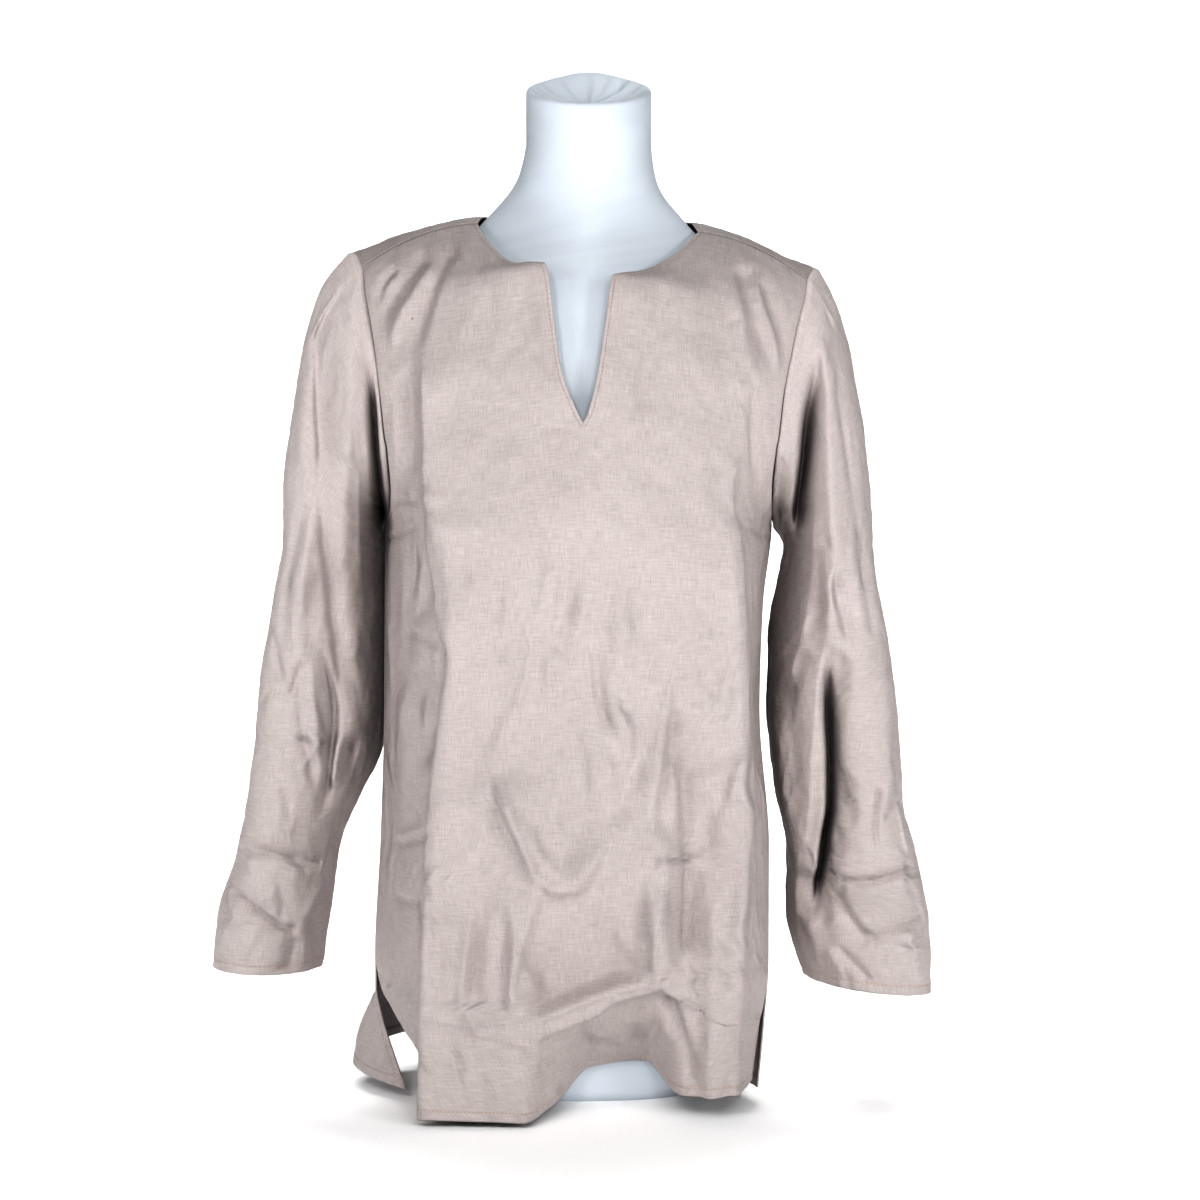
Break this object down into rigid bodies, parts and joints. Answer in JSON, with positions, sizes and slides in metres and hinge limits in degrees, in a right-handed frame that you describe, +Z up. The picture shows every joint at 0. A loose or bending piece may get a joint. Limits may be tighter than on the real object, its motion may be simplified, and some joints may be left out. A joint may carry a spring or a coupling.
{
  "type": "blouse on a dress form",
  "caption": "Straight long-sleeved linen blouse with a notched round neck and side slits, on a smooth limbless dress form.",
  "frame": {"origin": "centre of the dress form's flat base, on the surface it stands on", "axes": "+Z up, -Y the way the wearer faces, +X to the right as seen from the front"},
  "size_m": [0.606, 0.2576, 0.8604],
  "materials": {
    "linen": "matt washed linen",
    "form_cover": "smooth knitted cover"
  },
  "bodies": {
    "root": {"front": "linen", "back": "linen", "sleeve_left": "linen", "sleeve_right": "linen", "dress_form": "form_cover"}
  },
  "joints": []
}
